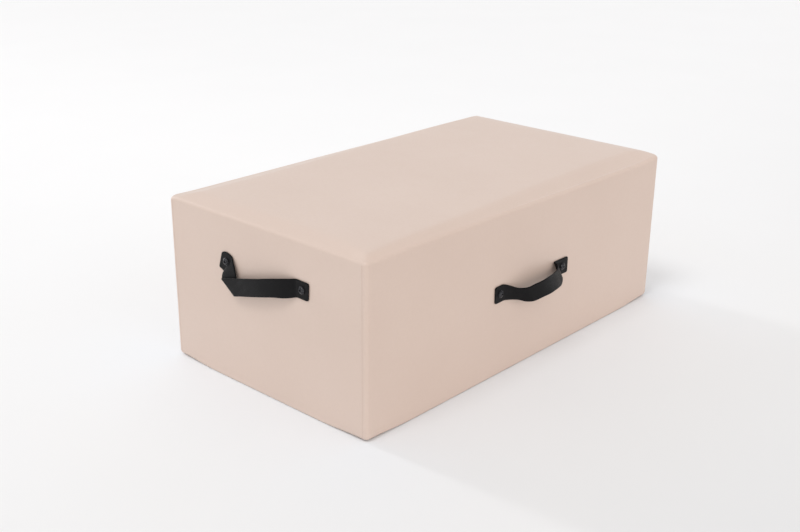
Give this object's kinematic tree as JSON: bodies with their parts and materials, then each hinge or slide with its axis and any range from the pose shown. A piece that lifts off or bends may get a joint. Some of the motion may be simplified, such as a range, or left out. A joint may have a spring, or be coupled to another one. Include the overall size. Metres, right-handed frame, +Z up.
{
  "type": "pilates sitting box",
  "caption": "Padded box for sitting and lying on during pilates: plywood carcass, foam and a fitted vinyl cover, with webbing carrying handles on its sides and ends.",
  "frame": {"origin": "on the floor under the middle of the box", "axes": "+X along the box's length, +Y across it to the back, +Z up from the feet to the padded seat"},
  "size_m": [0.8118, 0.5016, 0.292],
  "materials": {
    "vinyl": "satin upholstery vinyl, pale blush beige",
    "foam": "open-cell foam, matte",
    "plywood": "bare birch plywood",
    "dust_cloth": "black non-woven cloth",
    "rubber": "matte black rubber",
    "webbing": "coated black webbing, soft sheen",
    "dark_steel": "black oxide, satin",
    "zinc": "zinc plated"
  },
  "bodies": {
    "box": {"cover": "vinyl", "top_foam": "foam", "front_side_foam": "foam", "right_side_foam": "foam", "back_side_foam": "foam", "left_side_foam": "foam", "deck_board": "plywood", "base_board": "plywood", "front_wall": "plywood", "back_wall": "plywood", "left_wall": "plywood", "right_wall": "plywood", "centre_rib": "plywood", "corner_block_1": "plywood", "corner_block_2": "plywood", "corner_block_3": "plywood", "corner_block_4": "plywood", "deck_screw_1": "zinc", "deck_screw_2": "zinc", "deck_screw_3": "zinc", "deck_screw_4": "zinc", "deck_screw_5": "zinc", "deck_screw_6": "zinc", "dust_cover": "dust_cloth", "foot_1": "rubber", "foot_2": "rubber", "foot_3": "rubber", "foot_4": "rubber", "foot_screw_1": "zinc", "foot_screw_2": "zinc", "foot_screw_3": "zinc", "foot_screw_4": "zinc", "front_handle_left_end": "webbing", "front_handle_right_end": "webbing", "front_handle_left_bolt": "dark_steel", "front_handle_right_bolt": "dark_steel", "front_handle_left_tee_nut": "zinc", "front_handle_right_tee_nut": "zinc", "back_handle_left_end": "webbing", "back_handle_right_end": "webbing", "back_handle_left_bolt": "dark_steel", "back_handle_right_bolt": "dark_steel", "back_handle_left_tee_nut": "zinc", "back_handle_right_tee_nut": "zinc", "left_handle_left_end": "webbing", "left_handle_right_end": "webbing", "left_handle_left_bolt": "dark_steel", "left_handle_right_bolt": "dark_steel", "left_handle_left_tee_nut": "zinc", "left_handle_right_tee_nut": "zinc", "right_handle_left_end": "webbing", "right_handle_right_end": "webbing", "right_handle_left_bolt": "dark_steel", "right_handle_right_bolt": "dark_steel", "right_handle_left_tee_nut": "zinc", "right_handle_right_tee_nut": "zinc"},
    "front_grip": {"front_handle_grip": "webbing"},
    "back_grip": {"back_handle_grip": "webbing"},
    "left_grip": {"left_handle_grip": "webbing"},
    "right_grip": {"right_handle_grip": "webbing"}
  },
  "joints": [
    {"name": "front_handle_swing", "type": "hinge", "parent": "box", "child": "front_grip", "pos_m": [0.002, -0.221, 0.1445], "axis": [-1, 0, 0], "range_deg": [-35, 45], "stiffness_Nm_per_rad": 0.03, "deforming": ["front_handle_left_end", "front_handle_right_end"]},
    {"name": "back_handle_swing", "type": "hinge", "parent": "box", "child": "back_grip", "pos_m": [-0.002, 0.221, 0.1445], "axis": [1, 0, 0], "range_deg": [-35, 45], "stiffness_Nm_per_rad": 0.03, "deforming": ["back_handle_left_end", "back_handle_right_end"]},
    {"name": "left_handle_swing", "type": "hinge", "parent": "box", "child": "left_grip", "pos_m": [-0.39, -0.006, 0.2053], "axis": [0, 1, 0], "range_deg": [0, 60], "deforming": ["left_handle_left_end", "left_handle_right_end"]},
    {"name": "right_handle_swing", "type": "hinge", "parent": "box", "child": "right_grip", "pos_m": [0.39, 0.006, 0.2053], "axis": [0, -1, 0], "range_deg": [0, 60], "deforming": ["right_handle_left_end", "right_handle_right_end"]}
  ]
}
